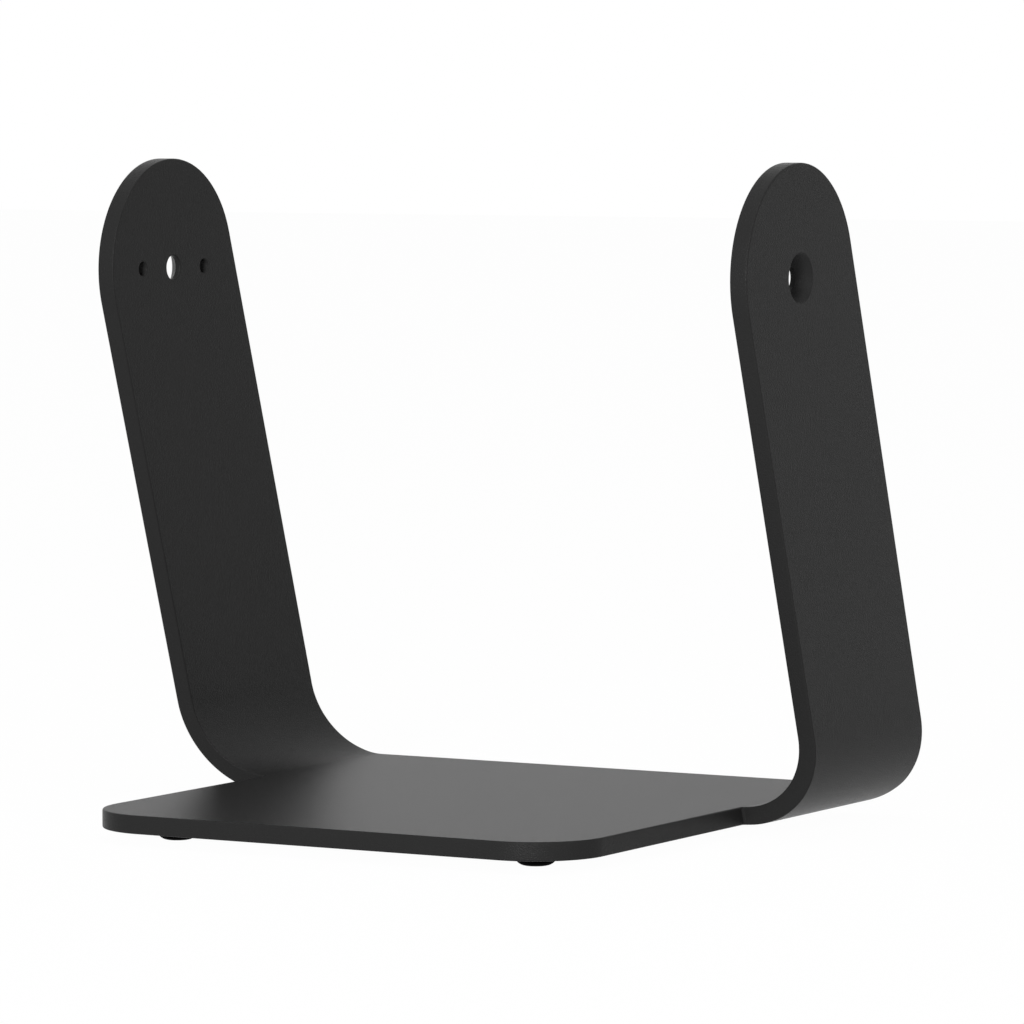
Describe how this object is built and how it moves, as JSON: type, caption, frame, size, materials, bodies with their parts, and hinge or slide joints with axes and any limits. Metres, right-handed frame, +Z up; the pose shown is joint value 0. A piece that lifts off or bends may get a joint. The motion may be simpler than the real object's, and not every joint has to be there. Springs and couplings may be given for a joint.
{
  "type": "desktop speaker stand",
  "caption": "Folded sheet-steel desktop speaker stand: a flat base plate on rubber feet, with leaning round-topped side arms that hold a loudspeaker at countersunk pivot holes.",
  "frame": {"origin": "centre of the whole stand's footprint, on the surface that the four feet stand on", "axes": "+X to the right as seen from the front, +Y to the back, +Z up; the arms lean towards -Y, the front"},
  "size_m": [0.2, 0.1574, 0.1797],
  "materials": {
    "coated_steel": "fine-textured satin black powder coat",
    "foot_rubber": "matt black moulded rubber"
  },
  "bodies": {
    "root": {"frame": "coated_steel", "foot_front_left": "foot_rubber", "foot_front_right": "foot_rubber", "foot_rear_left": "foot_rubber", "foot_rear_right": "foot_rubber"}
  },
  "joints": []
}
